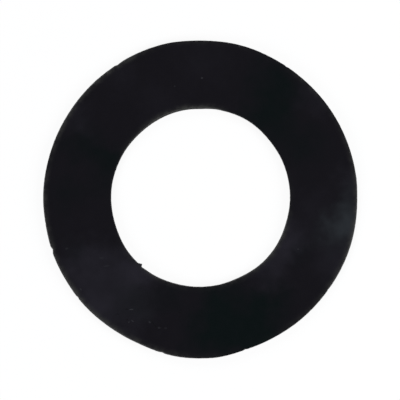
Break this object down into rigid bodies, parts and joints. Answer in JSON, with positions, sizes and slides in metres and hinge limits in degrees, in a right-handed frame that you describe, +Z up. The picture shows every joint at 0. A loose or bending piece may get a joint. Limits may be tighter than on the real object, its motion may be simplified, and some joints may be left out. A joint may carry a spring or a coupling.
{
  "type": "neoprene gasket",
  "caption": "Flat black rubber ring gasket with a large round hole, cut by hand from sheet, with a slight bulge and nicks in its rim and a small nib in the hole.",
  "frame": {"origin": "on the axis of the hole, at the gasket's underside", "axes": "+Z up along the hole's axis, through the sheet; +Y towards the side opposite the bulge in the rim; +X to the right of it, seen from above"},
  "size_m": [0.1066, 0.1079, 0.003],
  "materials": {
    "rubber": "matt black sheet with a soft, faintly bluish bloom"
  },
  "bodies": {
    "root": {"gasket_ring": "rubber"}
  },
  "joints": []
}
